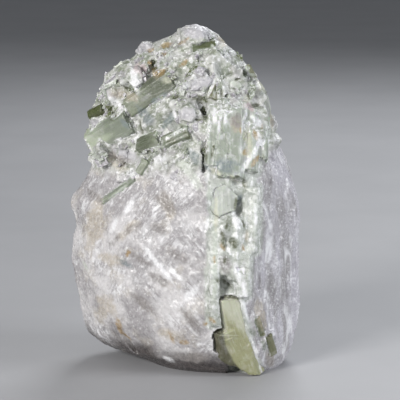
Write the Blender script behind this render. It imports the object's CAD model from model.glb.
# Looks for a hand specimen of tourmalinated quartz.
#
# The quartz block and every tourmaline prism start from the solid that stands for them. Each is
# meshed again finely, then broken, grooved and roughened in code. Small grains and slabs are
# strewn over the crumbly parts as joined meshes. Masks kept on the meshes as attributes say which
# mineral and which stain lies where, and the materials read them.
#
# Sizes in the shape code are millimetres, and a point array has one row for each point.
import math
from typing import NamedTuple

import bmesh
import bpy
import numpy as np
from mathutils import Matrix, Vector
from mathutils.bvhtree import BVHTree

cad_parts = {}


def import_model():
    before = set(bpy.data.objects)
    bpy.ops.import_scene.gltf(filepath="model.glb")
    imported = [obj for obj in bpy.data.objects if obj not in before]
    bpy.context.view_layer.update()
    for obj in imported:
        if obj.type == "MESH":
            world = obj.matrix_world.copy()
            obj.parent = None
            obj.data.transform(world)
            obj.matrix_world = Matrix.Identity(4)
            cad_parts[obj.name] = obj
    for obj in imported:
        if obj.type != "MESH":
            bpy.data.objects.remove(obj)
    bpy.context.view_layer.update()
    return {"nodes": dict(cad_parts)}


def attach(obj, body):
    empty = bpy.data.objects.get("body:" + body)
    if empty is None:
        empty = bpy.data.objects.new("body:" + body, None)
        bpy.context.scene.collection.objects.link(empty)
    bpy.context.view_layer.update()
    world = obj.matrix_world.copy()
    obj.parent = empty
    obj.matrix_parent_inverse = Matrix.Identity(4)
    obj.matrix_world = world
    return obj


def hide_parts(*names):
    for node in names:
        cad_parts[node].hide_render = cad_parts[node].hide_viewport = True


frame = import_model()
MM = 0.001

# Sizes of the meshes' faces
QUARTZ_VOXEL = 0.42
BLOCK_VOXEL = 0.25
CRYSTAL_VOXEL = (0.12, 0.2)  # of the smallest crystal and of the largest
# How far a crystal's mesh grows, to close the gap round its solid
CRYSTAL_GROWTH = 0.42
FIBROUS_GROWTH = 0.1
# How far the block's mesh reaches over the crystals, and over those of the vein, before their
# bare faces are cleared
COVER = 0.4
VEIN_COVER = 0.6
# How far off the nearest crystal or the nearest quartz is looked for
REACH = 4.0
# How many triangles of the block's mesh are left once it has been thinned where it is smooth
QUARTZ_TRIANGLES = 192_000
# How many grains and slabs lie on the block
GRAINS = 2400
SLABS = 60
# Random seeds, and the salts that make each crystal's noise its own
BLOCK_SEED = 23
GRAIN_SEED = 7
SLAB_SEED = 19
FIRST_SALT = 300
SALT_STEP = 60

# Directions in the front view: the upper left prisms lean to the right, the ridge stands upright.
LEAN = np.array([math.cos(math.radians(38)), 0.0, math.sin(math.radians(38))])
UPRIGHT = np.array([0.0, 0.0, 1.0])
# Where the leaning growth gives way to the upright growth, in x
LEAN_ENDS = (2.0, 7.0)
# Directions of the two sets of white streaks in the smooth face
RISING = (0.66, 0.0, 0.75)
FALLING = (0.68, 0.0, -0.73)
# The direction that a face looks in to be seen from the front, and from the left of the front
FRONT = (0.0, -1.0, 0.0)
LEFT_OF_FRONT = (-0.5, -0.85, 0.0)
FAR = 200  # farther off than anything of the specimen

# Height at which the crumbly top starts, in the middle of the front
TOP_STARTS = 59.1
# The vein's left and right border, as x at each height
VEIN_LEFT = ((3, 13), (10, 10.6), (24, 9.4), (32, 8.6), (44, 7.4), (53, 6.6), (62, 6.2))
VEIN_RIGHT = ((3, 21.8), (10, 19.4), (19, 17.2), (28, 18.4), (39, 19.5), (53, 20.7), (62, 22.5))
# Where the lower prism's dark left face meets its wide one, as x at each height
DARK_FACE = ((1.5, 16.5), (5, 13.8), (9.5, 12), (14, 10.8), (22.5, 9.8))
# How far the foot of that face is drawn out to the left and to the front
WIDER_BY = np.array([2.2, 0.5, 0.0])
# How far the prism's lower border is drawn down
LOWER_BY = 1.4
# Between these heights a flake of quartz lies over the left side of the prism
FLAKE = (14.5, 27.5)

# Blocks of quartz that stand out of the crumbly top, as
# (x, z, half width, half length, tilt, sides)
BLOCKS = (
    (1, 75, 2.9, 3.1, 20, 6), (4.5, 83, 2.6, 4.2, 60, 5), (-14, 84, 2.8, 3.2, -15, 7),
    (-2.5, 70.5, 2.0, 3.2, -55, 7), (-11.5, 91, 2.2, 3.0, 60, 6), (-18, 79.5, 2.6, 3.2, -70, 6),
    (14.5, 82.5, 1.8, 2.4, -70, 5), (-7.5, 83.5, 1.2, 1.6, 30, 6), (3, 96, 2.6, 3.8, -85, 7),
    (-16.5, 61.5, 2.2, 4.4, -70, 6), (9, 75.5, 1.2, 1.8, 20, 5),
)
# Spots of one look on the front, as (x, z, half width, half length, tilt in degrees to the right)
SPOTS = {
    "ochre": (
        (-16, 34.5, 0.6, 1.2, 35), (0, 10, 0.7, 1.6, 85), (6, 16, 0.5, 0.8, 60), (8, 17.5, 0.6, 1.2, -55),
        (-3.5, 11, 0.6, 1.9, -20), (-19, 12.5, 0.9, 2.8, -15), (-17, 9, 0.5, 1.8, -45),
        (-9, 86.5, 0.9, 2.4, -30), (-6.5, 85.5, 0.8, 2, 55), (-5, 93, 0.8, 2, 70), (-10, 91, 0.6, 1.5, 70),
        (-5.5, 90.5, 0.5, 1, 90), (0, 88.5, 0.6, 1.5, 50), (0, 94.5, 0.5, 2, 50), (16, 70.5, 0.4, 0.9, 0),
        (20, 69, 0.7, 1.7, -25), (17, 64.5, 0.7, 0.9, 0), (20, 62, 0.7, 2.2, 45), (22, 71, 0.4, 0.9, -10),
        (8.5, 35, 0.4, 1.2, 0), (11, 38.5, 0.8, 1.5, -30), (16.5, 38, 0.4, 1.1, -10),
    ),
    "tan": (
        (-16, 41, 1.2, 4.5, 45), (-26, 41, 3, 8, 15), (-21, 32, 2, 4, -85), (-22, 17.5, 2, 4.5, -45),
        (-4.5, 12, 1.7, 4, -80), (-4.5, 49, 1.7, 4, -25), (14.5, 73, 1.2, 2.7, -60),
        (25, 71.5, 0.6, 2.7, -5), (10.5, 94.5, 0.8, 2, -50), (-17.5, 79, 1.7, 4, -80),
        (-19, 59.5, 2, 4, -55), (21.5, 18.5, 1.4, 5, -10), (24.5, 4, 1.2, 3.8, -15),
        (-8.5, 85.5, 1.2, 2.2, -25), (14.5, 72.5, 1.6, 2.2, -10), (-23.5, 16, 1.7, 5.5, 20),
        (17.5, 41, 0.8, 2, 0),
    ),
    "cream": (
        (18, 67.5, 1.4, 3.8, -10), (17.5, 64, 0.9, 1.8, -60), (18, 79, 1, 2, 20), (-4.5, 84, 1.4, 2, 60),
        (9, 48, 0.7, 5, 0), (22, 82, 1, 3, -30), (9, 59.5, 0.8, 2, -60), (14, 57.5, 0.7, 2, -40),
        (12.5, 12.8, 0.2, 3.6, -86),
    ),
    "green": (
        (-10.5, 89, 0.8, 1.8, 0), (-5.5, 66, 1.4, 2.2, 70), (-9, 63, 1, 2.2, 60),
        (0.5, 69.5, 1.6, 2.6, -20), (11.5, 86, 1.5, 2.4, -30), (-1, 84, 0.6, 2.2, -5),
        (17.5, 85, 1, 2.2, -50), (14, 39.5, 1.2, 2.4, -15), (3.5, 61.5, 1, 2.5, 20),
        (9, 81.5, 0.7, 1.6, 30), (12.5, 44.5, 1, 2.2, 10), (-3.5, 79, 0.6, 1.2, 60),
        (0.5, 66.5, 0.8, 2.6, 60), (19, 13.5, 0.8, 2, -40), (22.5, 8.5, 0.8, 2.2, -25), (-3, 66, 1, 2, -60),
    ),
    "olive": (
        (-8.7, 87, 0.9, 2.2, -10), (4.5, 79, 0.9, 3, -75), (9.5, 29, 0.5, 1.5, -45),
        (12, 27.5, 0.8, 2.2, -55), (20.5, 76.5, 0.4, 1.1, -85), (-16, 80.5, 0.4, 3, -70),
        (-3, 81.5, 0.5, 1.1, 60), (-2.5, 79, 0.5, 1.1, 75), (2, 86.5, 0.4, 0.6, 90),
        (5.5, 86.5, 0.4, 0.6, 90), (4, 89.5, 0.4, 0.9, 0), (5.5, 75.5, 0.8, 2.4, -25),
        (4.5, 73, 0.5, 1.7, -75), (10.5, 80.5, 0.4, 1.8, 0), (12, 79.5, 0.4, 0.9, 75),
        (17, 85.5, 0.4, 1.1, -20), (15, 84, 0.4, 0.9, 65), (6, 65, 0.9, 3, 0), (8, 65, 0.4, 2.1, 15),
        (-10, 63.5, 0.6, 1.6, 70), (-3.5, 67, 1.3, 2, -60), (-12.5, 70, 0.6, 1.8, -20),
        (10, 58, 0.5, 1.2, -80), (17, 56, 0.5, 2, -10), (14.5, 58, 0.5, 1.1, 80), (14.5, 50.5, 0.7, 2, 5),
        (16.5, 45, 0.4, 1.4, -20), (11, 40.5, 0.8, 2.9, -10), (14, 39.5, 1, 1.9, -35),
        (13, 24, 0.5, 2.3, -85), (11.5, 35, 0.5, 1.3, 10), (-24, 73.5, 0.7, 1.3, -15),
        (-21, 73, 1.3, 1.7, -35), (0.5, 69.5, 0.9, 2.4, -40), (12, 45, 0.4, 1.8, 10),
    ),
    "lavender": (
        (-22.5, 79, 1.2, 2.3, -70), (-11.5, 91.5, 1.6, 3.2, 65), (4.5, 83, 2, 3.7, 65),
        (4, 97, 1.9, 4.6, -85), (1, 75, 2, 3.4, 70), (-16.5, 62, 2, 4.7, -70), (-25.5, 69.5, 1.2, 2.2, -80),
        (-6.5, 68.5, 0.9, 1.9, -25), (28, 60, 1.7, 3.2, -15),
    ),
    "pink": (
        (-11.5, 85.5, 1.4, 2.3, -40), (18, 76.5, 0.8, 2, -60), (-14, 86, 0.8, 1.5, 20),
    ),
    "grey": (
        (21.5, 80, 1.4, 3.6, -35), (24, 74.5, 0.6, 3, -5), (10, 86.5, 1.2, 2.6, -35),
        (15.5, 86, 0.9, 2.2, -45), (4, 78, 0.8, 3.2, -75), (-11, 78.5, 0.6, 2, 50),
        (-3.5, 71.5, 1.4, 2.6, -65), (11.8, 42, 1.7, 1.8, 0), (13.5, 40, 1, 1.4, 0),
    ),
    "glass": (
        (-18.5, 60.5, 1.7, 4.8, -75), (-5, 50, 2, 3.8, -45), (-7, 42.5, 1.3, 2.8, -70),
        (-15, 41.5, 0.9, 3, 50), (-19.5, 38, 0.7, 2.6, 45), (-2.5, 36, 1.7, 4, -65),
        (-8, 28.5, 1.5, 3.6, -65), (2.5, 16.5, 1.5, 4.7, -40), (-26, 49.5, 0.9, 3, -60),
        (-12.5, 33.5, 0.9, 4.1, -65), (11.7, 34, 1.7, 3.2, -10), (-11, 20, 1.5, 5, -50),
        (14.5, 73, 1.3, 2.4, -60), (14.8, 74, 1.6, 1.6, 0), (3, 5.5, 1.8, 6, 85), (24, 3.5, 1.6, 2.5, 0),
        (-13, 42.5, 1, 2, 45),
    ),
    "white": (
        (-15.5, 48, 1, 3.4, 30), (-20, 42, 0.8, 2.6, 30), (-7, 32, 0.8, 6.5, -40),
        (-2.5, 30, 0.7, 3.2, -50), (2, 25, 1.1, 3.1, 40), (6.5, 45, 0.5, 2, 5), (-4.5, 3.5, 0.8, 1.8, -70),
        (4.5, 10, 0.5, 1, 50), (-14, 83, 1.2, 3.4, -15), (-19.5, 76, 1.2, 2.6, -60),
        (-2.5, 74.5, 0.8, 1.6, -20), (7.5, 81.5, 0.5, 2.8, 25), (-15, 57, 1, 2.2, -75),
        (-7, 62, 1, 2.6, 65), (0, 82, 1, 2.3, 15), (8.5, 74.5, 1, 2.6, -10), (10, 72.5, 0.6, 4, 8),
        (11.6, 74, 0.5, 3, 8), (17.4, 74.5, 0.4, 2, 8), (16.5, 72, 0.4, 2.2, 5), (7, 71.5, 0.6, 2.4, 5),
        (20.5, 65.5, 0.8, 2.5, 20), (17.5, 61.5, 0.9, 2.9, 30), (21.5, 67, 0.7, 2.8, -10),
        (20.5, 72.5, 1, 2.7, -45), (6.5, 57.5, 0.5, 1.6, 5), (14.5, 46, 0.9, 2.7, -15),
        (15, 31, 0.9, 3, -15), (17, 26, 0.8, 2.9, -10), (17.5, 19, 0.5, 4, -15), (20.5, 6.5, 0.4, 7, -15),
        (13.5, 90.5, 0.8, 1.4, 65), (20, 46.5, 0.5, 4, 0),
    ),
    "teal": (
        (-11, 73.5, 1.6, 2.8, -50), (-7, 78.5, 0.9, 2.9, 55), (-17, 71, 0.8, 1.9, -40),
        (12, 61, 2, 3.2, -80), (6.5, 60.5, 0.5, 1.3, -45), (2.5, 63.5, 1.3, 2.9, -40),
        (-16.5, 31.5, 0.9, 1.9, -65), (-4, 73, 1, 3, 40), (15.5, 51, 0.7, 2.2, 10),
    ),
    "mint": (
        (14.5, 83, 1, 2.5, -70), (24.5, 76, 0.5, 3.6, -10), (-3, 71.5, 1.4, 3, -65),
        (7.5, 52, 0.9, 3.5, -10), (0.5, 60, 1.4, 3.4, -35), (-25.5, 61.5, 0.8, 2.1, -30),
        (-19, 51.5, 0.6, 3, 50), (20, 46.5, 0.9, 5, 0), (8.5, 36.5, 0.8, 12.5, 0),
        (-23, 61.5, 0.8, 1.8, -35), (3.5, 56.5, 1.4, 3, -45), (19.5, 84.5, 0.6, 1.5, -80),
        (-29, 28.5, 0.5, 1.6, -30), (8.5, 26, 0.7, 2.6, 10), (11, 55.5, 1.2, 2, 70),
    ),
}
# Looks whose spots are smooth where all round them is crumbly
SMOOTH_LOOKS = ("lavender", "mint", "teal", "grey")


def ramp(low, high, value):
    """A value from low to high turned smoothly into one from 0 to 1."""
    t = np.clip((value - low) / (high - low), 0, 1)
    return t * t * (3 - 2 * t)


def mix(a, b, share):
    return a + (b - a) * share


def lattice(cells, salt):
    """A number from 0 to 1 for each whole-number cell, always the same for the same salt."""
    c = cells.astype(np.int64)
    h = c[..., 0] * 374761393 + c[..., 1] * 668265263 + c[..., 2] * 1440662683 + salt * 97531
    h &= 0xFFFFFFFF
    h = ((h ^ (h >> 13)) * 1274126177) & 0xFFFFFFFF
    h = ((h ^ (h >> 15)) * 2246822519) & 0xFFFFFFFF
    return ((h ^ (h >> 16)) & 0xFFFFFF) / 0xFFFFFF


def noise(points, salt):
    """Smooth noise from -1 to 1, with features about one unit wide."""
    base = np.floor(points)
    t = points - base
    t = t * t * (3 - 2 * t)
    total = 0
    for corner in np.ndindex(2, 2, 2):
        weight = np.prod(np.where(np.array(corner), t, 1 - t), axis=-1)
        total = total + weight * lattice(base + corner, salt)
    return 2 * total - 1


def layered(points, salt, layers=3):
    return sum(noise(points * 2**n, salt + n) / 2**n for n in range(layers))


def chips(points, salt):
    """Height of a chipped surface, about -1 to 1.

    Space is parted into cells about one unit wide. Each is a flat chip with its own tilt.
    """
    base = np.floor(points)
    nearest = np.full(len(points), 9.0)
    height = np.zeros(len(points))
    for offset in np.ndindex(3, 3, 3):
        cell = base + offset - 1
        away = points - cell - np.stack([lattice(cell, salt + n) for n in range(3)], axis=-1)
        distance = (away**2).sum(axis=-1)
        tilt = np.stack([lattice(cell, salt + 4 + n) - 0.5 for n in range(3)], axis=-1)
        here = 1.2 * (lattice(cell, salt + 3) - 0.5) + 1.6 * (away * tilt).sum(axis=-1)
        closer = distance < nearest
        height = np.where(closer, here, height)
        nearest = np.where(closer, distance, nearest)
    return height


def along(points, direction, stretch):
    """Points squeezed along a direction, so that noise made from them is stretched along it."""
    share = (points @ direction)[:, None] * direction
    return points - share * (1 - 1 / stretch)


def grown(points, make):
    """A pattern that leans with the left prisms and stands upright at the ridge."""
    share = ramp(*LEAN_ENDS, points[:, 0])
    return mix(make(LEAN), make(UPRIGHT), share)


def border(table, z):
    heights, places = zip(*table)
    return np.interp(z, heights, places)


def turned(x, z, tilt):
    """Lengths across and along something that tilts to the right by this many degrees."""
    turn = math.radians(tilt)
    return x * math.cos(turn) - z * math.sin(turn), x * math.sin(turn) + z * math.cos(turn)


def spots(points, look):
    """How much each point lies in a spot of one look, with ragged borders."""
    ragged = 0.34 * noise(points / 1.9, 61) + 0.22 * noise(points / 0.8, 62)
    total = np.zeros(len(points))
    for x, z, wide, high, tilt in SPOTS[look]:
        across, up = turned(points[:, 0] - x, points[:, 2] - z, tilt)
        away = np.hypot(across / wide, up / high)
        total = np.maximum(total, ramp(1.25, 0.55, away + ragged))
    return total * ramp(9, 3, points[:, 1])


def smooth_spots(points):
    return np.max([spots(points, look) for look in SMOOTH_LOOKS], axis=0)


def values_of(collection, name, width=1, kind=np.float32):
    """One value, or a row of values, for each entry of a mesh's collection."""
    values = np.empty(len(collection) * width, kind)
    collection.foreach_get(name, values)
    return values.reshape(-1, width) if width > 1 else values


def coordinates(mesh):
    return values_of(mesh.vertices, "co", 3).astype(float) / MM


def solid_points(node):
    return coordinates(frame["nodes"][node].data)


def normals(mesh):
    return values_of(mesh.vertices, "normal", 3).astype(float)


def place(mesh, points):
    mesh.vertices.foreach_set("co", (points * MM).astype(np.float32).ravel())
    mesh.update()


def raised(mesh, points, height):
    """The points moved out of the mesh's surface, each by its own height."""
    return points + normals(mesh) * height[:, None]


def keep(mesh, **attributes):
    """Keeps numbers or vectors for the vertices as attributes that the material reads."""
    for name, values in attributes.items():
        values = np.asarray(values, np.float32)
        kind, field = ("FLOAT", "value") if values.ndim == 1 else ("FLOAT_VECTOR", "vector")
        mesh.attributes.new(name, kind, "POINT").data.foreach_set(field, values.ravel())


def added(name, data):
    """A new object in the scene."""
    thing = bpy.data.objects.new(name, data)
    bpy.context.scene.collection.objects.link(thing)
    return thing


def apply_modifiers(piece):
    old = piece.data
    graph = bpy.context.evaluated_depsgraph_get()
    new = bpy.data.meshes.new_from_object(piece.evaluated_get(graph))
    piece.modifiers.clear()
    piece.data = new
    bpy.data.meshes.remove(old)
    new.name = piece.name


def add_solid(bm, node, growth):
    """Adds a CAD node's solid to a bmesh, with its faces moved out by the growth."""
    solid = bmesh.new()
    solid.from_mesh(frame["nodes"][node].data)
    bmesh.ops.remove_doubles(solid, verts=solid.verts, dist=0.001 * MM)
    solid.normal_update()
    for vertex in solid.verts:
        reach = min(2.0, vertex.calc_shell_factor()) * growth * MM
        vertex.co = vertex.co + vertex.normal * reach
    copy = bpy.data.meshes.new("copy")
    solid.to_mesh(copy)
    solid.free()
    bm.from_mesh(copy)
    bpy.data.meshes.remove(copy)


def voxel_mesh(name, bm, voxel):
    """A new object with a fine, even mesh over the outside of what a bmesh holds."""
    rough = bpy.data.meshes.new("rough")
    bm.to_mesh(rough)
    bm.free()
    piece = added(name, rough)
    remesh = piece.modifiers.new("fine", "REMESH")
    remesh.mode = "VOXEL"
    remesh.voxel_size = voxel * MM
    apply_modifiers(piece)
    return piece


def remeshed(name, growths, voxel):
    """One fine, even mesh over some CAD nodes. Growths says how far each node's faces move out."""
    bm = bmesh.new()
    for node, growth in growths.items():
        add_solid(bm, node, growth)
    return voxel_mesh(name, bm, voxel)


def thin(piece, triangles):
    """Takes triangles out of a piece's mesh where it is smooth, until this many are left."""
    count = sum(len(face.vertices) - 2 for face in piece.data.polygons)
    decimate = piece.modifiers.new("thin", "DECIMATE")
    decimate.ratio = min(1, triangles / count)
    apply_modifiers(piece)


def levelled(mesh, points, rounds):
    """The points drawn towards the middle of their neighbours, a number of times."""
    edges = values_of(mesh.edges, "vertices", 2, np.int32)
    count = np.bincount(edges.ravel(), minlength=len(points))[:, None]
    for _ in range(rounds):
        total = np.zeros_like(points)
        for axis in range(3):
            column = points[:, axis]
            total[:, axis] = np.bincount(edges[:, 0], column[edges[:, 1]], len(points))
            total[:, axis] += np.bincount(edges[:, 1], column[edges[:, 0]], len(points))
        points = 0.5 * points + 0.5 * total / count
    return points


def sunk_by(mesh, points, rounds):
    """How far each vertex lies below what is round it, less than 0 where it stands out."""
    return ((levelled(mesh, points, rounds) - points) * normals(mesh)).sum(axis=-1)


def dents(mesh, points):
    """How deep each vertex lies below its neighbours, about -1 on edges to 1 in cracks."""
    return np.clip(sunk_by(mesh, points, 6) / 0.3, -1, 1)


def smooth(mesh, angle):
    mesh.shade_smooth()
    mesh.set_sharp_from_angle(angle=math.radians(angle))


def finished(piece, material, slot, *nodes):
    piece.data.materials.append(material)
    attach(piece, "root")
    if nodes:
        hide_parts(*nodes)


class Shader:
    """A material built node by node. Sockets go in and come out as plain values or sockets."""

    def __init__(self, name):
        self.material = bpy.data.materials.new(name)
        self.material.use_nodes = True
        self.nodes = self.material.node_tree.nodes
        self.links = self.material.node_tree.links

    def set(self, node, values):
        for name, value in values.items():
            if isinstance(value, bpy.types.NodeSocket):
                self.links.new(value, node.inputs[name])
            else:
                node.inputs[name].default_value = value

    def add(self, kind, values, output=0, **settings):
        """Adds a node, with the values of its inputs. Returns one of its outputs."""
        node = self.nodes.new("ShaderNode" + kind)
        for name, value in settings.items():
            setattr(node, name, value)
        self.set(node, values)
        return node.outputs[output]

    def attribute(self, name, output="Fac"):
        return self.add("Attribute", {}, output, attribute_name=name)

    def vector(self, operation, a, b=(0, 0, 0), output="Vector"):
        return self.add("VectorMath", {0: a, 1: b}, output, operation=operation)

    def scaled(self, vector, factor):
        return self.add("VectorMath", {0: vector, "Scale": factor}, operation="SCALE")

    def position(self):
        """Object coordinates in millimetres."""
        return self.scaled(self.add("TexCoord", {}, "Object"), 1 / MM)

    def stretched(self, vector, direction, times):
        """Coordinates whose patterns come out longer along a direction."""
        share = self.vector("DOT_PRODUCT", vector, direction, "Value")
        share = self.math("MULTIPLY", share, 1 - 1 / times)
        return self.vector("SUBTRACT", vector, self.scaled(direction, share))

    def noise(self, vector, scale, detail=3.0, rough=0.55):
        values = {"Vector": vector, "Scale": scale, "Detail": detail, "Roughness": rough}
        return self.add("TexNoise", values, "Fac")

    def math(self, operation, a, b=0.0):
        return self.add("Math", {0: a, 1: b}, operation=operation)

    def times(self, *values):
        total = values[0]
        for value in values[1:]:
            total = self.math("MULTIPLY", total, value)
        return total

    def ramp(self, value, low, high, start=0.0, end=1.0):
        """A value from low to high turned smoothly into one from start to end."""
        values = {"Value": value, "From Min": low, "From Max": high, "To Min": start, "To Max": end}
        return self.add("MapRange", values, "Result", interpolation_type="SMOOTHSTEP")

    def patches(self, vector, scale, low, high, strength=1.0, detail=4.0, rough=0.6):
        """Patches of noise, 0 where the noise is below low and the strength where above high."""
        return self.ramp(self.noise(vector, scale, detail, rough), low, high, 0.0, strength)

    def mix(self, share, a, b):
        return self.add("Mix", {"Factor": share, 6: a, 7: b}, 2, data_type="RGBA")

    def tinted(self, colour, attribute, strength, tint):
        """A colour with a tint over it where an attribute is high."""
        return self.mix(self.times(self.attribute(attribute), strength), colour, tint)

    def steps(self, value, colours):
        """One of several colours, by a value from 0 to 1."""
        colour = self.add("ValToRGB", {"Fac": value}, "Color")
        colour.node.color_ramp.interpolation = "CONSTANT"
        stops = colour.node.color_ramp.elements
        stops.remove(stops[1])
        for n, (share, tint) in enumerate(colours):
            stop = stops[0] if n == 0 else stops.new(share)
            stop.position = share
            stop.color = tint
        return colour

    def bump(self, height, distance, strength, **normal):
        values = {"Height": height, "Distance": distance * MM, "Strength": strength}
        return self.add("Bump", values | normal, "Normal")

    def facets(self, vector, scale, amount, normal):
        """Turns the surface's direction a little in each small cell, as glistening grains do."""
        cells = self.add("TexVoronoi", {"Vector": vector, "Scale": scale}, "Color")
        tilt = self.vector("SUBTRACT", cells, (0.5, 0.5, 0.5))
        turned = self.vector("ADD", normal, self.scaled(tilt, amount))
        return self.vector("NORMALIZE", turned)

    def finish(self, **values):
        surface = self.nodes["Principled BSDF"]
        self.set(surface, {name.replace("_", " "): value for name, value in values.items()})
        return self.material


# Colours, as linear red, green and blue. First those of the crystals.
DARK_OLIVE = (0.065, 0.078, 0.026, 1)
DEEP_GREEN = (0.105, 0.128, 0.065, 1)
MOSS = (0.1, 0.116, 0.074, 1)
SOFT_MOSS = (0.205, 0.228, 0.165, 1)
SAGE = (0.20, 0.225, 0.175, 1)
PALE_SAGE = (0.36, 0.40, 0.30, 1)
OLD_OLIVE = (0.155, 0.155, 0.085, 1)
YELLOW_OLIVE = (0.30, 0.30, 0.17, 1)
DULL_GREEN = (0.29, 0.32, 0.265, 1)
GREY_GREEN = (0.35, 0.37, 0.335, 1)
PALE_OLIVE = (0.49, 0.50, 0.39, 1)
DARK_SIDE = (0.06, 0.056, 0.034, 1)
CREAM = (0.57, 0.57, 0.45, 1)
PALE_MINT = (0.55, 0.58, 0.52, 1)
# Those of the quartz
MILK = (0.575, 0.56, 0.56, 1)
CLEAR = (0.34, 0.325, 0.33, 1)
DEEP_CLEAR = (0.07, 0.06, 0.058, 1)
BEIGE = (0.50, 0.46, 0.40, 1)
SNOW = (0.84, 0.84, 0.85, 1)
RIGHT = (0.49, 0.475, 0.51, 1)
CRUMB = (0.50, 0.505, 0.475, 1)
CRUMB_GREEN = (0.265, 0.29, 0.225, 1)
LAVENDER = (0.47, 0.46, 0.48, 1)
MINT = (0.50, 0.54, 0.47, 1)
FIBRE = (0.50, 0.52, 0.48, 1)
CRACK = (0.11, 0.115, 0.08, 1)
# Each look's strength and colour, from the faintest to the plainest
STAINS = {
    "tan": (0.6, (0.42, 0.365, 0.28, 1)),
    "glass": (0.8, (0.24, 0.222, 0.212, 1)),
    "mint": (0.7, MINT),
    "grey": (0.75, (0.29, 0.30, 0.28, 1)),
    "green": (0.8, SAGE),
    "cream": (0.75, CREAM),
    "teal": (0.8, (0.19, 0.225, 0.235, 1)),
    "pink": (0.8, (0.52, 0.42, 0.43, 1)),
    "ochre": (0.8, (0.33, 0.22, 0.085, 1)),
    "olive": (0.9, (0.095, 0.105, 0.055, 1)),
    "white": (0.9, SNOW),
}
# Width and strength of the white streaks in the smooth face
STREAKS = ((0.3, 0.32), (2.2, 0.45), (1.0, 0.65))
# A grain's colour, by its tone from 0 to 1
GRAIN_COLOURS = (
    (0.0, (0.55, 0.56, 0.55, 1)),
    (0.26, (0.41, 0.44, 0.38, 1)),
    (0.50, (0.36, 0.345, 0.365, 1)),
    (0.68, (0.26, 0.29, 0.215, 1)),
    (0.87, (0.11, 0.13, 0.06, 1)),
    (0.94, (0.36, 0.27, 0.13, 1)),
)


class Look(NamedTuple):
    """How one crystal looks. Lengths are millimetres."""

    dark: tuple
    light: tuple
    light_end: int = 0  # 1 where its top is the light end, -1 where its foot is
    frost: float = 0.2
    groove: float = 0.08  # depth of its grooves
    melt: int = 4  # rounds of smoothing that its edges get
    crust: float = 0.5  # how high the crumbly crust climbs up its sides
    fibrous: bool = False
    slot: str = "green_tourmaline"


PALE = "pale_tourmaline"
LOOKS = {
    "lower_prism": Look(YELLOW_OLIVE, PALE_OLIVE, 1, 0.1, 0.09, 9, 0.0),
    "left_prism_outer": Look(SAGE, PALE_SAGE, -1, 0.1, 0.06),
    "left_prism_inner": Look(MOSS, SOFT_MOSS, -1, 0.06, 0.04),
    "ridge_columns": Look(DULL_GREEN, GREY_GREEN, 0, 0.3, 0.14, 16, 0.7, slot=PALE),
    "pale_end": Look(GREY_GREEN, PALE_MINT, 0, 0.2, 0.08, 14, 0.0, slot=PALE),
    "vein_columns": Look(GREY_GREEN, PALE_MINT, 0, 0.5, 0.14, 24, 4.0, True, PALE),
    "vein_side": Look(PALE_MINT, PALE_MINT, 0, 0.5, 0.12, 24, 4.0, True, PALE),
    "vein_blade": Look(GREY_GREEN, PALE_MINT, 0, 0.5, 0.12, 16, 4.0, True, PALE),
    "oval_crystal": Look(MOSS, SOFT_MOSS, 1, 0.1, 0.05, 8, 0.4),
    "square_crystal": Look(SOFT_MOSS, SAGE, 0, 0.03, 0.06, 5, 0.2),
    "needle": Look(SAGE, DULL_GREEN, 0, 0.3, 0.1, 6, 0.1, slot=PALE),
    "middle_crystal": Look(MOSS, SOFT_MOSS, 0, 0.05, 0.05, 14, 0.3),
    "peak_crystal": Look(DARK_OLIVE, DEEP_GREEN, -1, 0.03, 0.08, 4, 0.2),
    "slope_crystal": Look(OLD_OLIVE, SAGE, melt=6),
    "small_crystal": Look(OLD_OLIVE, OLD_OLIVE, crust=0.0),
    "edge_crystal_1": Look(DARK_OLIVE, DARK_OLIVE, 1, 0.02, melt=5, crust=0.0),
    "edge_crystal_2": Look(DARK_OLIVE, OLD_OLIVE, 0, 0.02, melt=3, crust=0.0),
    "fleck_upper": Look(DARK_OLIVE, OLD_OLIVE, 0, 0.1, melt=14, crust=0.1),
    "fleck_lower": Look(DARK_OLIVE, OLD_OLIVE, 0, 0.12, melt=14, crust=0.1),
    "back_prism": Look(SAGE, PALE_SAGE),
    "back_needle": Look(GREY_GREEN, PALE_MINT, melt=6, slot=PALE),
}
CRYSTALS = {"tourmaline_" + name: look for name, look in LOOKS.items()}


class Surface:
    """The faces of some CAD nodes, for looking up the nearest one. Lengths are millimetres."""

    def __init__(self, nodes):
        corners, faces, self.owners = [], [], []
        for node in nodes:
            start = len(corners)
            corners += solid_points(node).tolist()
            for face in frame["nodes"][node].data.polygons:
                faces.append([start + n for n in face.vertices])
                self.owners.append(node)
        self.tree = BVHTree.FromPolygons(corners, faces)

    def nearest(self, points):
        """How far each point lies from a face, at most the reach, and the node of that face."""
        found = [self.tree.find_nearest(point, REACH) for point in points.tolist()]
        away = np.array([REACH if distance is None else distance for _, _, _, distance in found])
        return away, [None if n is None else self.owners[n] for _, _, n, _ in found]

    def front(self, x, z, facing=FRONT):
        """The point of the surface that shows at this place from the front.

        None where nothing shows, or where what shows is turned away from facing.
        """
        place, normal, _, _ = self.tree.ray_cast((x, -FAR, z), (0, 1, 0))
        return None if place is None or normal.dot(facing) < 0 else np.array(place)


def crystal_axes(node):
    """A crystal's middle, its directions across, away and along, and its half sizes in them."""
    points = solid_points(node)
    middle = (points.min(axis=0) + points.max(axis=0)) / 2
    _, directions = np.linalg.eigh(np.cov(points.T))
    axis = directions[:, 2] * np.sign(directions[2, 2])
    across = np.cross([0, 1, 0], axis)
    across /= np.linalg.norm(across)
    turn = np.stack([across, np.cross(axis, across), axis], axis=1)
    half = np.abs((points - middle) @ turn).max(axis=0)
    return middle, turn, half


def outside_crystals(points):
    """How far outside each crystal's box each point lies, in each of the box's directions."""
    for node in CRYSTALS:
        middle, turn, half = crystal_axes(node)
        yield np.abs((points - middle) @ turn) - half


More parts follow.
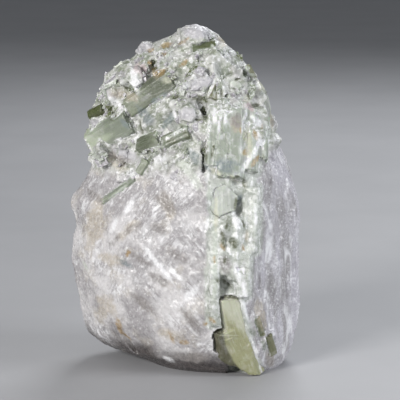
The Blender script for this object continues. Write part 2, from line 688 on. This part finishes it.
def crystal_distance(points):
    """How far outside the nearest crystal each point lies, less than 0 inside it."""
    return np.min([outside.max(axis=-1) for outside in outside_crystals(points)], axis=0)


def stained(s, colour, where):
    """A colour with the spots of every look on it, each with a mottled edge."""
    mottle = s.ramp(s.noise(where, 1.2, 4, 0.65), 0.34, 0.58, 0.5, 1)
    for look, (strength, stain) in STAINS.items():
        colour = s.mix(s.times(s.attribute(look), mottle, strength), colour, stain)
    return colour


def streaks(s, where, direction, width):
    """Fine strokes along a direction, strong in some places and absent in others."""
    fibres = s.stretched(where, direction, 9)
    strokes = s.patches(fibres, 1 / width, 0.52, 0.6, detail=3)
    return s.times(strokes, s.ramp(s.noise(where, 0.22, 3), 0.4, 0.6, 0.15, 1))


def specks(s, where, speck, group, strength):
    """Where specks lie that come in groups. Both are patches, as a scale, a low and a high."""
    groups = s.patches(where, *group, detail=3, rough=0.55)
    return s.times(s.patches(where, *speck, detail=3), groups, strength)


def face_colour(s, where):
    """The smooth quartz: milk, clear patches, warm clouds and feathery white streaks."""
    cloud = s.math("ADD", s.noise(where, 0.11, 5, 0.6), s.times(s.attribute("glassy"), 0.11))
    colour = s.mix(s.ramp(cloud, 0.42, 0.6), MILK, CLEAR)
    colour = s.mix(s.patches(where, 0.15, 0.5, 0.68, 0.5), colour, BEIGE)
    for look, direction in (("rising", RISING), ("falling", FALLING)):
        strokes = 0.0
        for width, strength in STREAKS:
            stroke = s.times(streaks(s, where, direction, width), strength)
            strokes = s.math("MAXIMUM", strokes, stroke)
        colour = s.mix(s.times(strokes, s.attribute(look)), colour, SNOW)
    dots = specks(s, where, (1.6, 0.56, 0.62), (0.3, 0.4, 0.6), 0.45)
    return s.mix(s.attribute("foot"), s.mix(dots, colour, SNOW), DEEP_CLEAR)


def right_colour(s, where):
    upright = s.stretched(where, (0, 0, 1), 3.5)
    colour = s.mix(s.patches(upright, 0.16, 0.4, 0.6), RIGHT, CLEAR)
    colour = s.mix(s.patches(upright, 0.5, 0.54, 0.64, 0.4), colour, SNOW)
    colour = s.tinted(colour, "seam", 0.75, SNOW)
    dots = specks(s, where, (2.0, 0.53, 0.66), (0.25, 0.4, 0.58), 0.8)
    return s.mix(dots, colour, SNOW)


def crumb_colour(s, where):
    colour = s.mix(s.patches(where, 0.22, 0.46, 0.6, 1, 5, 0.65), CRUMB, CRUMB_GREEN)
    colour = s.mix(s.patches(where, 0.17, 0.54, 0.62, 0.6), colour, CLEAR)
    colour = s.mix(s.patches(where, 0.8, 0.52, 0.62, 0.7, 4, 0.65), colour, SNOW)
    return s.tinted(colour, "lavender", 0.9, LAVENDER)


def vein_colour(s, where):
    upright = s.stretched(where, (0, 0, 1), 1.8)
    colour = s.mix(s.patches(where, 0.26, 0.46, 0.62), FIBRE, GREY_GREEN)
    colour = s.mix(s.patches(upright, 0.7, 0.5, 0.62, 0.75, 5, 0.65), colour, SNOW)
    return s.mix(s.patches(where, 0.5, 0.58, 0.68, 0.6), colour, CRUMB_GREEN)


def crust_colour(s, where):
    """The white and mint grains that lie over the crystals' borders."""
    colour = s.mix(s.patches(where, 0.5, 0.42, 0.6, 1, 3, 0.55), MINT, DULL_GREEN)
    return s.mix(s.patches(where, 1.1, 0.46, 0.58, 1, 4, 0.65), colour, SNOW)


def quartz_material():
    s = Shader("milky_quartz")
    where = s.position()
    fine = s.noise(where, 1.1, 4, 0.65)
    top = s.attribute("top")
    colour = s.mix(s.attribute("right"), face_colour(s, where), right_colour(s, where))
    colour = s.mix(top, colour, crumb_colour(s, where))
    colour = s.mix(s.attribute("vein"), colour, vein_colour(s, where))
    colour = s.mix(s.attribute("crust"), colour, crust_colour(s, where))
    colour = stained(s, colour, where)
    crack = s.times(s.attribute("crack"), s.math("ADD", s.times(top, 0.6), 0.04))
    colour = s.mix(crack, colour, CRACK)
    colour = s.tinted(colour, "edge", 0.3, SNOW)
    rough = s.math("ADD", s.ramp(fine, 0.35, 0.7, 0.2, 0.4), s.times(top, 0.1))
    normal = s.facets(where, 1.5, 0.36, s.bump(fine, 0.22, 0.8))
    return s.finish(
        Base_Color=colour, Roughness=rough, Normal=normal, IOR=1.54,
        Subsurface_Weight=0.35, Subsurface_Radius=(1.0, 0.95, 1.0), Subsurface_Scale=2.0 * MM,
    )


def right_ribs(p):
    """The wavy upright ribs of the right face. They meet in sharp seams where this is 0."""
    wavy = along(p + np.outer(2.2 * noise(p / 7, 26), (1, 0, 0)), UPRIGHT, 3)
    return np.abs(noise(wavy / 4.6, 30) + 0.3 * noise(wavy / 1.9, 31))


def quartz_masks(p):
    """How much each point is in the crumbly top, in the vein and on the right face."""
    ragged = 2.2 * noise(p / 8, 11) + 1.3 * noise(p / 2.6, 12)
    limit = TOP_STARTS + 0.2 * np.maximum(0, p[:, 1] + 1.6) + 0.14 * p[:, 0]
    top = ramp(-2, 2.5, p[:, 2] - limit + ragged)
    x = p[:, 0] + (0.9 * noise(p / 3.5, 13) + 0.35 * noise(p / 1.2, 14))
    left = ramp(-0.7, 0.7, x - border(VEIN_LEFT, p[:, 2]))
    beyond = ramp(-0.7, 0.7, x - border(VEIN_RIGHT, p[:, 2]))
    front = ramp(-6, -11, p[:, 1])
    vein = left * (1 - beyond) * front * (1 - top)
    right = beyond * ramp(14, 4, p[:, 1]) * (1 - top)
    return top, vein, right


def right_slope(p):
    """How much each point is on the worn slope to the right of the peak."""
    return ramp(16, 21, p[:, 0] + 1.5 * noise(p / 5, 88))


def rubble(p, size, salt):
    """Chips that follow the prisms' growth."""
    return grown(p, lambda direction: chips(along(p, direction, 1.5) / size, salt))


def broken_relief(p):
    """The crumbly top: coarse rubble everywhere, finer rubble in patches, and deep dark spots."""
    calm = 0.12 + 0.88 * ramp(-0.1, 0.4, noise(p / 5, 90))
    finer = 0.36 * rubble(p, 2.4, 120) + 0.12 * rubble(p, 1.3, 140)
    broken = 0.55 * rubble(p, 4.8, 100) + calm * finer
    worn = np.maximum(0.85 * smooth_spots(p), 0.88 * right_slope(p))
    return broken * (1 - worn) - 0.6 * spots(p, "olive")


def quartz_relief(p, top, vein, right):
    """How far each point of the block's skin moves out."""
    face = 0.5 * layered(p / 13, 20) + 0.3 * noise(p / 4, 23) + 0.08 * chips(p / 5.5, 160)
    face += 0.09 * chips(p / 2.4, 180) + 0.1 * noise(p / 0.9, 24)
    ribs = 1.5 * right_ribs(p) - 0.3 + 0.16 * chips(p / 2.6, 200) + 0.12 * noise(p / 0.9, 25)
    fibres = 0.28 * chips(along(p, UPRIGHT, 1.4) / 2.6, 220)
    fibres += 0.1 * noise(along(p, UPRIGHT, 2.5) / 1.1, 32) + 0.36 * noise(p / 4.0, 33)
    return mix(mix(mix(face, ribs, right), fibres, vein), broken_relief(p), top)


def on_fibrous(near, owners):
    """How much each point lies on one of the vein's fibrous crystals."""
    fibrous = np.array([owner is not None and CRYSTALS[owner].fibrous for owner in owners])
    return fibrous * ramp(2.2, 1.2, near)


def crust_and_bare(p, near, owners, matrix):
    """How much each point is crust that lies on a crystal, and how much a bare crystal face."""
    high, _ = matrix.nearest(p)
    climb = np.array([CRYSTALS[owner].crust if owner else 0 for owner in owners])
    on_crystal = ramp(0.9, 0.65, near) * ramp(0.1, 0.35, high)
    ragged = noise(p / 1.3, 91) + 0.8 * noise(p / 3.1, 92)
    ragged *= 0.05 + 0.7 * np.minimum(climb, 1.2)
    crust = ramp(0.25, -0.1, high - 0.2 - climb - ragged) * on_crystal
    return crust, on_crystal * (1 - crust)


def settled(p, relief, near, bare, crust, vein):
    """The relief with what lies over bare crystal faces drawn in behind them, and a thin crust."""
    covered = mix(0.12 + 0.14 * chips(p / 1.3, 260), 0.1 + 0.14 * noise(p / 2.4, 261), vein)
    relief = mix(relief, covered, crust)
    relief = mix(relief, -0.5 - near, bare)
    return relief * ramp(0.1, 2.0, p[:, 2])


def widening(points):
    """How much wider the lower prism's dark face is at its foot than that of its solid."""
    return ramp(16, 2, points[:, 2])


def widened(points):
    """The lower prism's points with its foot drawn down, and its dark face out to the left."""
    left = ramp(0.8, -1.2, points[:, 0] - border(DARK_FACE, points[:, 2]))
    low = ramp(10, 5, points[:, 2]) * ramp(0, 2.6, points[:, 2])
    points = points - (left * widening(points))[:, None] * WIDER_BY
    return points - (low * LOWER_BY)[:, None] * UPRIGHT


def before(points, node):
    """Which points lie in the box round a node's solid, or up to 20 mm before that box."""
    solid = solid_points(node)
    low, high = solid.min(axis=0) - [3, 20, 1], solid.max(axis=0)
    return ((points > low) & (points < high)).all(axis=-1)


def cleared(points, node, beyond):
    """The points with those that lie in front of a node's solid moved back behind its face.

    Beyond is how far this reaches past the solid's left side, for each point. The sides turned to
    the right and what lies under the flake stay covered.
    """
    solid = Surface([node])
    points = points.copy()
    flake = (points[:, 2] > FLAKE[0]) & (points[:, 2] < FLAKE[1])
    flake &= points[:, 0] < border(DARK_FACE, points[:, 2])
    for n in np.flatnonzero(before(points, node) & ~flake):
        x, y, z = points[n]
        face = solid.front(x + beyond[n], z, LEFT_OF_FRONT)
        if face is not None:
            points[n, 1] = max(y, face[1] + 0.1)
    return points


def quartz(crystals, matrix):
    growths = {node: VEIN_COVER if look.fibrous else COVER for node, look in CRYSTALS.items()}
    piece = remeshed("quartz", {"quartz_matrix": 0.0} | growths, QUARTZ_VOXEL)
    mesh = piece.data
    p = coordinates(mesh)
    top, vein, right = quartz_masks(p)
    near, owners = crystals.nearest(p)
    vein = np.maximum(vein, on_fibrous(near, owners) * (1 - top))
    crust, bare = crust_and_bare(p, near, owners, matrix)
    filling = np.maximum(0, sunk_by(mesh, p, 20)) * np.maximum(vein, ramp(2.5, 1, near))
    relief = settled(p, quartz_relief(p, top, vein, right), near, bare, crust, vein)
    out = raised(mesh, p, filling + relief)
    out = mix(out, levelled(mesh, out, 2), 0.6 * (top * (1 - bare))[:, None])
    out = mix(out, levelled(mesh, out, 8), 0.8 * (vein * (1 - bare))[:, None])
    out = raised(mesh, out, 0.16 * vein * (1 - bare) * chips(p / 1.1, 240))
    out = cleared(out, "tourmaline_lower_prism", 0.3 + WIDER_BY[0] * widening(out))
    out = cleared(out, "tourmaline_pale_end", np.full(len(out), -0.1))
    out[:, 2] = np.maximum(out[:, 2], 0)
    place(mesh, out)
    crack = ramp(0.15, 0.8, dents(mesh, out)) * ramp(0.4, 1.6, near)
    keep(mesh, crust=crust * (1 - 0.75 * vein), crack=crack)
    keep_quartz_masks(mesh, p, top, vein, right)
    thin(piece, QUARTZ_TRIANGLES)
    smooth(piece.data, 32)
    finished(piece, quartz_material(), "milky_quartz", "quartz_matrix")
    return piece


def keep_quartz_masks(mesh, p, top, vein, right):
    plain = (1 - top) * (1 - right) * (1 - vein)
    across = p[:, 0] - 0.35 * (p[:, 2] - 35)
    lie = noise(p / 9, 44)
    rising = ramp(2, -8, across + 9 * lie) * ramp(26, 34, p[:, 2] + 6 * lie)
    foot = ramp(9.0, 2, p[:, 2] + 0.03 * p[:, 0] + 3 * noise(p / 6, 58))
    edges = ramp(0.25, 0.9, -dents(mesh, coordinates(mesh)))
    keep(
        mesh,
        rising=np.maximum(rising, ramp(0.1, 0.5, lie)) * plain,
        falling=(1 - rising) * ramp(-0.5, 0.2, noise(p / 7, 54)) * plain,
        glassy=ramp(26, 50, p[:, 2] + 8 * lie) * plain,
        foot=foot * plain * 0.95,
        top=top, vein=vein, right=right,
        seam=ramp(0.16, 0.04, right_ribs(p)) * ramp(-0.3, 0.2, noise(p / 5, 57)),
        edge=edges * ramp(0.2, 1.5, p[:, 2]),
        **{look: spots(p, look) for look in SPOTS},
    )


def zoned_colour(s, where, long, look):
    """Zones and lines along a crystal, with a dark side and frost on them."""
    zones = s.math("ADD", s.noise(long, 0.3, 3), s.times(s.attribute("paler"), 0.3))
    colour = s.mix(s.ramp(zones, 0.4, 0.7), look.dark, look.light)
    lines = s.noise(long, 2.0, 4, 0.6)
    colour = s.mix(s.ramp(lines, 0.5, 0.7, 0, 0.3), colour, look.light)
    colour = s.mix(s.ramp(lines, 0.46, 0.32, 0, 0.3), colour, look.dark)
    colour = s.tinted(colour, "dim", 0.85, DARK_SIDE)
    snow = s.times(s.patches(where, 0.4, 0.5, 0.64), look.frost)
    snow = s.math("ADD", snow, s.times(s.ramp(lines, 0.56, 0.66), 0.7 * look.frost))
    return s.mix(snow, colour, SNOW)


def crystal_material(name, look):
    s = Shader(name)
    where = s.position()
    long = s.vector("MULTIPLY", s.attribute("grown", "Vector"), (1, 1, 0.07))
    colour = vein_colour(s, where) if look.fibrous else zoned_colour(s, where, long, look)
    colour = stained(s, colour, where)
    colour = s.tinted(colour, "sunk", 0.85, crust_colour(s, where))
    colour = s.tinted(colour, "crack", 0.4, CRACK)
    colour = s.tinted(colour, "edge", 0.1 + 0.5 * look.frost, SNOW)
    fine = s.noise(where, 2.2, 3)
    rough = s.math("ADD", s.ramp(fine, 0.3, 0.7, 0.24, 0.42), 0.2 * look.frost)
    normal = s.bump(s.noise(long, 2.0, 4, 0.6), 0.1, 0.8, Normal=s.bump(fine, 0.1, 0.6))
    normal = s.facets(where, 1.6, 0.08 + 0.3 * look.frost, normal)
    return s.finish(
        Base_Color=colour, Roughness=rough, Normal=normal, IOR=1.63,
        Subsurface_Weight=0.3, Subsurface_Radius=(0.7, 1.0, 0.5), Subsurface_Scale=1.3 * MM,
    )


def crystal_relief(q, n, groove, salt):
    """Grooves along the faces and broken steps on the ends, for points in the crystal's frame."""
    side = ramp(0.75, 0.35, np.abs(n[:, 2]))
    grooves = layered(q * [1 / 0.9, 1 / 0.9, 1 / 20], salt, 2)
    steps = chips(q * [1 / 2.2, 1 / 2.2, 1 / 6], salt + 5) + 0.8 * noise(q / 3, salt + 8)
    ends = chips(q / 1.7, salt + 15)
    bites = ramp(0.3, 0.7, chips(q / 2.3, salt + 30))
    sides = groove * (grooves + 1.3 * steps - 0.5 * bites)
    return side * sides + (1 - side) * 0.38 * ends


def dark_face(node, p):
    """How much each point lies on the dark left face, which only the lower prism has."""
    if node != "tourmaline_lower_prism":
        return np.zeros(len(p))
    return ramp(0.4, -0.4, p[:, 0] - border(DARK_FACE, p[:, 2]) + 0.3 * noise(p / 2, 95))


def under_crust(look, p, salt, matrix):
    """How much each point of a crystal is under the crumbly crust that climbs up its sides."""
    climb = min(1, look.crust)
    ragged = (0.2 + 0.4 * climb) * noise(p / 1.1, salt + 50)
    return ramp(0.6 + climb, 0.2, matrix.nearest(p)[0] + ragged) * (look.crust > 0)


def crystal(node, salt, matrix):
    look = CRYSTALS[node]
    middle, turn, half = crystal_axes(node)
    growth = FIBROUS_GROWTH if look.fibrous else CRYSTAL_GROWTH
    piece = remeshed(node + "_crystal", {node: growth}, np.clip(half.max() / 25, *CRYSTAL_VOXEL))
    mesh = piece.data
    p = levelled(mesh, coordinates(mesh), look.melt)
    if node == "tourmaline_lower_prism":
        p = widened(p)
    place(mesh, p)
    q = (p - middle) @ turn
    out = raised(mesh, p, crystal_relief(q, normals(mesh) @ turn, look.groove, salt))
    out[:, 2] = np.maximum(out[:, 2], 0)
    place(mesh, out)
    dent = dents(mesh, out) * ramp(0.2, 1.5, p[:, 2])
    keep(
        mesh,
        grown=q + [salt, 0, 0],
        paler=look.light_end * q[:, 2] / half[2],
        dim=dark_face(node, p),
        sunk=under_crust(look, p, salt, matrix),
        crack=ramp(0.2, 0.9, dent),
        edge=ramp(0.3, 0.9, -dent),
        **{name: spots(p, name) for name in STAINS},
    )
    smooth(mesh, 26)
    finished(piece, crystal_material(node, look), look.slot, node)


def block_corners(x, z, wide, high, tilt, sides, matrix, rng):
    """Corners of one block: a many-sided front face, and a wider ring behind it."""
    middle = matrix.front(x, z)
    angles = math.tau * (np.arange(sides) + rng.uniform(-0.2, 0.2, sides)) / sides
    across, up = turned(wide * np.cos(angles), high * np.sin(angles), -tilt)
    ring = np.stack([across, 0 * up, up], axis=-1)
    slope = rng.uniform(-0.25, 0.25, 2)
    front = middle + 0.8 * ring - [0, 0.7, 0]
    front[:, 1] += 0.8 * (ring[:, 0] * slope[0] + ring[:, 2] * (slope[1] + 0.2))
    return np.concatenate([front, middle + 1.12 * ring + [0, 2.6, 0]])


def blocks(matrix, material):
    """The larger blocks of quartz in the crumbly top, each the hull of its corners."""
    rng = np.random.default_rng(BLOCK_SEED)
    bm = bmesh.new()
    for block in BLOCKS:
        corners = [bm.verts.new(corner * MM) for corner in block_corners(*block, matrix, rng)]
        bmesh.ops.convex_hull(bm, input=corners)
    piece = voxel_mesh("quartz_blocks", bm, BLOCK_VOXEL)
    mesh = piece.data
    p = levelled(mesh, coordinates(mesh), 2)
    place(mesh, p)
    relief = 0.24 * chips(p / 1.9, 270) + 0.12 * chips(p / 0.9, 272) + 0.08 * noise(p / 0.9, 275)
    place(mesh, raised(mesh, p, relief))
    none = np.zeros(len(p))
    keep_quartz_masks(mesh, p, none + 1, none, none)
    smooth(mesh, 32)
    finished(piece, material, "milky_quartz")


# A grain or slab is a box with its corners knocked about, and its tone picks its colour.
BOX = 2.0 * np.array(list(np.ndindex(2, 2, 2))) - 1
BOX_FACES = ((0, 1, 3, 2), (4, 6, 7, 5), (0, 4, 5, 1), (2, 3, 7, 6), (0, 2, 6, 4), (1, 5, 7, 3))


def grain_material(name):
    s = Shader(name)
    where = s.position()
    colour = s.steps(s.attribute("tone"), GRAIN_COLOURS)
    fine = s.noise(where, 1.8, 4, 0.6)
    colour = s.mix(s.ramp(fine, 0.48, 0.62, 0, 0.6), colour, SNOW)
    rough = s.ramp(fine, 0.35, 0.65, 0.15, 0.45)
    normal = s.facets(where, 2.5, 0.12, s.bump(fine, 0.12, 0.8))
    return s.finish(
        Base_Color=colour, Roughness=rough, Normal=normal, IOR=1.55,
        Subsurface_Weight=0.3, Subsurface_Radius=(0.9, 1.0, 0.8), Subsurface_Scale=1.0 * MM,
    )


def scattered(mesh, density, count, rng):
    """Random places on a mesh, dense where the density is high, and the surface's direction."""
    centres = values_of(mesh.polygons, "center", 3).astype(float) / MM
    weight = values_of(mesh.polygons, "area").astype(float) * density(centres)
    chosen = rng.choice(len(centres), count, p=weight / weight.sum())
    facing = values_of(mesh.polygons, "normal", 3).astype(float)[chosen]
    return centres[chosen] + rng.uniform(-0.2, 0.2, (count, 3)), facing


def clear_of_crystals(places, room):
    """Which places aren't on a crystal. Room is how far inside its borders they may still lie."""
    limits = [-room, 0, -room]
    inside = [(outside < limits).all(axis=-1) for outside in outside_crystals(places)]
    return ~np.any(inside, axis=0)


def growth_frames(places, spread, rng):
    """For each place, two directions across the growth and one along it, a little disturbed."""
    share = ramp(*LEAN_ENDS, places[:, 0])[:, None]
    up = mix(LEAN, UPRIGHT, share) + rng.normal(0, spread, places.shape)
    up /= np.linalg.norm(up, axis=-1, keepdims=True)
    side = np.cross(rng.normal(0, 1, places.shape), up)
    side /= np.linalg.norm(side, axis=-1, keepdims=True)
    return np.stack([side, np.cross(up, side), up], axis=2)


def joined_boxes(name, centres, halves, spread, places, rng):
    """One mesh of boxes that lie along the growth, each with the tone of its place."""
    frames = growth_frames(places, spread, rng)
    tones = grain_tones(places, rng)
    corners = BOX * rng.uniform(0.5, 1.0, (len(centres), 8, 3)) * halves[:, None, :]
    corners = centres[:, None, :] + corners @ frames.transpose(0, 2, 1)
    faces = np.array(BOX_FACES) + 8 * np.arange(len(centres))[:, None, None]
    mesh = bpy.data.meshes.new(name)
    mesh.from_pydata((corners.reshape(-1, 3) * MM).tolist(), [], faces.reshape(-1, 4).tolist())
    keep(mesh, tone=np.repeat(tones, 8))
    finished(added(name, mesh), grain_material(name), "milky_quartz")


def grain_density(points):
    top, vein, _ = quartz_masks(points)
    patchy = ramp(0.0, 0.5, noise(points / 5, 71) + 0.4 * noise(points / 2, 72))
    fringe = ramp(1.5, 0.2, crystal_distance(points))
    loose = (0.03 + patchy) * (1 - 0.95 * smooth_spots(points)) + 0.6 * fringe
    loose *= 1 - 0.95 * right_slope(points)
    return top * loose + 0.1 * vein * patchy * ramp(26, 30, points[:, 2])


def grain_tones(places, rng):
    """Tones that run in patches, so that neighbouring grains are mostly of one mineral."""
    patches = 0.5 + 0.5 * layered(places / 5, 73)
    tones = np.clip(0.55 * patches + 0.5 * rng.uniform(0, 1, len(places)), 0, 0.93)
    tones = np.where(spots(places, "ochre") + 0.6 * spots(places, "tan") > 0.9, 0.97, tones)
    tones = np.where(spots(places, "white") > 0.5, 0.1, tones)
    return np.where(spots(places, "olive") > 0.6, 0.92, tones)


def grains(block):
    rng = np.random.default_rng(GRAIN_SEED)
    places, facing = scattered(block.data, grain_density, GRAINS, rng)
    free = clear_of_crystals(places, 0.3) & (places[:, 2] > 2)
    places, facing = places[free], facing[free]
    size = np.clip(rng.lognormal(-1.15, 0.45, len(places)), 0.16, 0.8)
    halves = size[:, None] * rng.uniform((0.6, 0.6, 0.8), (1.0, 1.0, 1.7), places.shape)
    centres = places + facing * (size * rng.uniform(-0.5, 0.25, len(size)))[:, None]
    joined_boxes("quartz_grains", centres, halves, 0.35, places, rng)


def slab_density(points):
    top, _, _ = quartz_masks(points)
    worn = np.maximum(smooth_spots(points), right_slope(points))
    below_peak = ramp(95, 88, points[:, 2])
    return top * below_peak * (1 - worn) * ramp(0.5, 3.0, crystal_distance(points))


def slabs(block):
    """Flat-sided lumps sunk deep in the crumbly top, which show as broken steps."""
    rng = np.random.default_rng(SLAB_SEED)
    places, facing = scattered(block.data, slab_density, SLABS, rng)
    halves = rng.uniform((0.8, 0.7, 1.2), (1.9, 1.6, 2.8), places.shape)
    halves = halves * ramp(0, 2.5, crystal_distance(places))[:, None]
    sunk = halves.min(axis=-1) * rng.uniform(0.35, 0.8, len(places))
    joined_boxes("quartz_slabs", places - facing * sunk[:, None], halves, 0.2, places, rng)


# Camera, floor and light
TARGET = Vector((4.46, -1.51, 47.9)) * MM
DISTANCE = 620 * MM
ELEVATION = math.radians(10)
PIXEL = 0.29 * MM  # the width that one of the photograph's pixels covers at the target
FRAME_WIDTH = 400
SENSOR = 36.0
FLOOR = 1.5  # from its middle to its sides, in metres
PALE_GREY = ((0.36, 0.36, 0.37, 1), (0.38, 0.38, 0.39, 1))
SKY = (0.82, 0.86, 0.92, 1)


def camera():
    data = bpy.data.cameras.new("camera")
    data.sensor_width = SENSOR
    data.lens = SENSOR * DISTANCE / (PIXEL * FRAME_WIDTH)
    eye = added("camera", data)
    away = Vector((0, -math.cos(ELEVATION), math.sin(ELEVATION)))
    eye.location = TARGET + DISTANCE * away
    eye.rotation_euler = (math.pi / 2 - ELEVATION, 0, 0)
    bpy.context.scene.camera = eye


def floor():
    mesh = bpy.data.meshes.new("floor")
    corners = [(x * FLOOR, y * FLOOR, 0) for x, y in ((-1, -1), (1, -1), (1, 1), (-1, 1))]
    mesh.from_pydata(corners, [], [(0, 1, 2, 3)])
    s = Shader("floor")
    grain = s.noise(s.position(), 0.02, 3)
    colour = s.mix(s.ramp(grain, 0.3, 0.7), *PALE_GREY)
    mesh.materials.append(s.finish(Base_Color=colour, Roughness=0.6))
    added("floor", mesh)


def area_light(name, place_mm, size, watts, colour):
    data = bpy.data.lights.new(name, "AREA")
    data.shape = "SQUARE"
    data.size = size * MM
    data.energy = watts
    data.color = colour
    lamp = added(name, data)
    lamp.location = Vector(place_mm) * MM
    lamp.rotation_euler = (TARGET - lamp.location).to_track_quat("-Z", "Y").to_euler()


def lights():
    area_light("key", (-430, -540, 300), 200, 5.0, (1, 0.985, 0.97))
    area_light("right", (560, -160, 260), 240, 2.5, (0.95, 0.97, 1))
    area_light("front", (60, -800, 180), 500, 1.0, (0.97, 0.98, 1))
    area_light("back", (150, 520, 480), 300, 2.4, (0.95, 0.97, 1))
    world = bpy.data.worlds.new("studio")
    world.use_nodes = True
    sky = world.node_tree.nodes["Background"].inputs
    sky["Color"].default_value = SKY
    sky["Strength"].default_value = 0.2
    bpy.context.scene.world = world
    bpy.context.scene.view_settings.view_transform = "Standard"


camera()
floor()
lights()
matrix = Surface(["quartz_matrix"])
block = quartz(Surface(CRYSTALS), matrix)
blocks(matrix, block.data.materials[0])
for n, node in enumerate(CRYSTALS):
    crystal(node, FIRST_SALT + SALT_STEP * n, matrix)
slabs(block)
grains(block)
